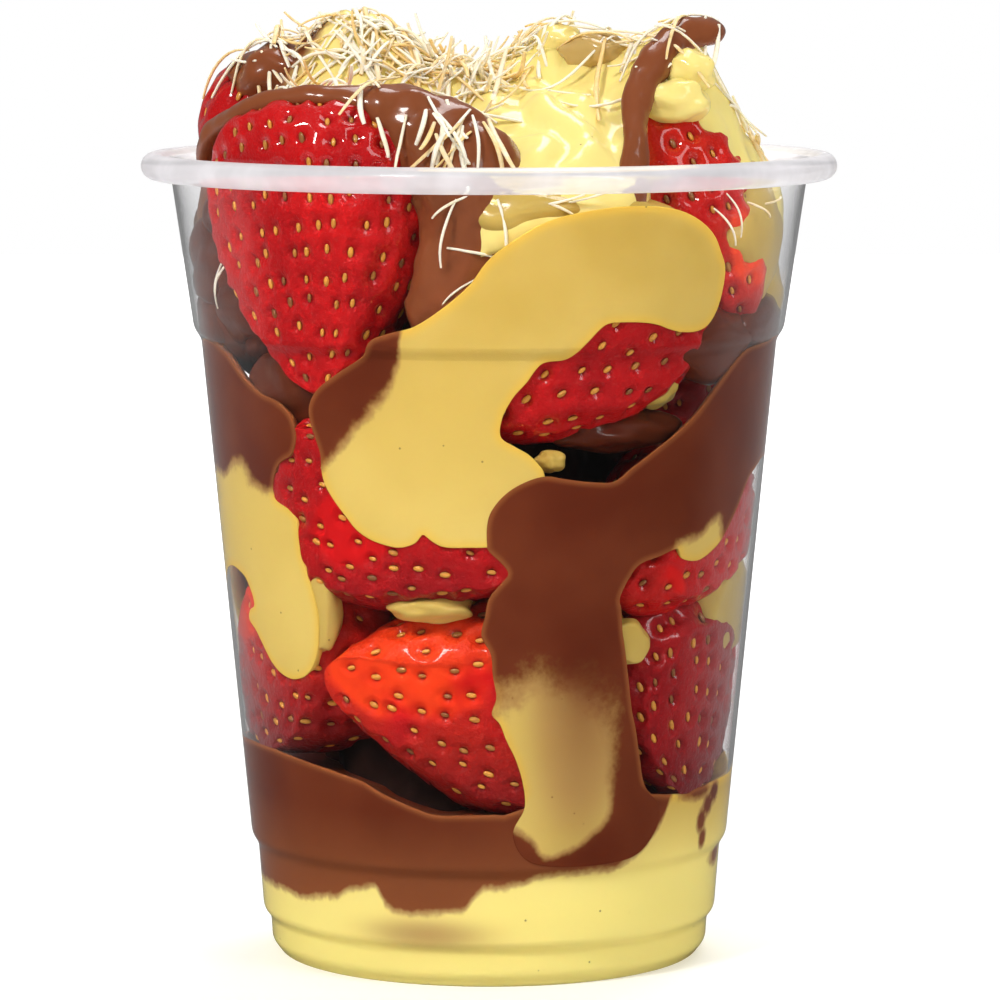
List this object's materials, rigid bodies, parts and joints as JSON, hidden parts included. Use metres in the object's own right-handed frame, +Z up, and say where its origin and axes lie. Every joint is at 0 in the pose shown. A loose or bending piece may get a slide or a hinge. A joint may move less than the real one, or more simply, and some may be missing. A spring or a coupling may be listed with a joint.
{
  "type": "strawberry dessert cup",
  "caption": "Clear tapered plastic cup packed with whole strawberries, chocolate sauce and pistachio cream, topped with shredded pastry.",
  "frame": {"origin": "middle of the cup's foot, on the surface that it stands on", "axes": "+Z up along the cup's axis, -Y towards the front that the picture shows, +X to its right"},
  "size_m": [0.0948, 0.0948, 0.129],
  "materials": {
    "clear_plastic": "clear, thin and glossy",
    "strawberry": "wet red fruit with golden seeds in dimples",
    "chocolate": "satin milk chocolate sauce",
    "pistachio_cream": "satin pale yellow-green cream with fine dark specks"
  },
  "bodies": {
    "root": {"berry_centre_right": "strawberry", "berry_lower_centre": "strawberry", "berry_lower_left": "strawberry", "berry_lower_right": "strawberry", "berry_middle_left": "strawberry", "berry_rear_left": "strawberry", "berry_rear_low": "strawberry", "berry_rear_middle": "strawberry", "berry_rear_right": "strawberry", "berry_rear_top": "strawberry", "berry_rear_top_left": "strawberry", "berry_rear_upper_left": "strawberry", "berry_rear_upper_right": "strawberry", "berry_top_left": "strawberry", "berry_top_right": "strawberry", "berry_upper_right": "strawberry", "chocolate_drape": "chocolate", "chocolate_filling": "chocolate", "chocolate_lobe_front": "chocolate", "chocolate_smear_left": "chocolate", "chocolate_smear_rear": "chocolate", "chocolate_strap": "chocolate", "cream_base": "pistachio_cream", "cream_heap": "pistachio_cream", "cream_smear_front": "pistachio_cream", "cream_smear_left": "pistachio_cream", "cream_smear_rear": "pistachio_cream", "cup": "clear_plastic"}
  },
  "joints": []
}
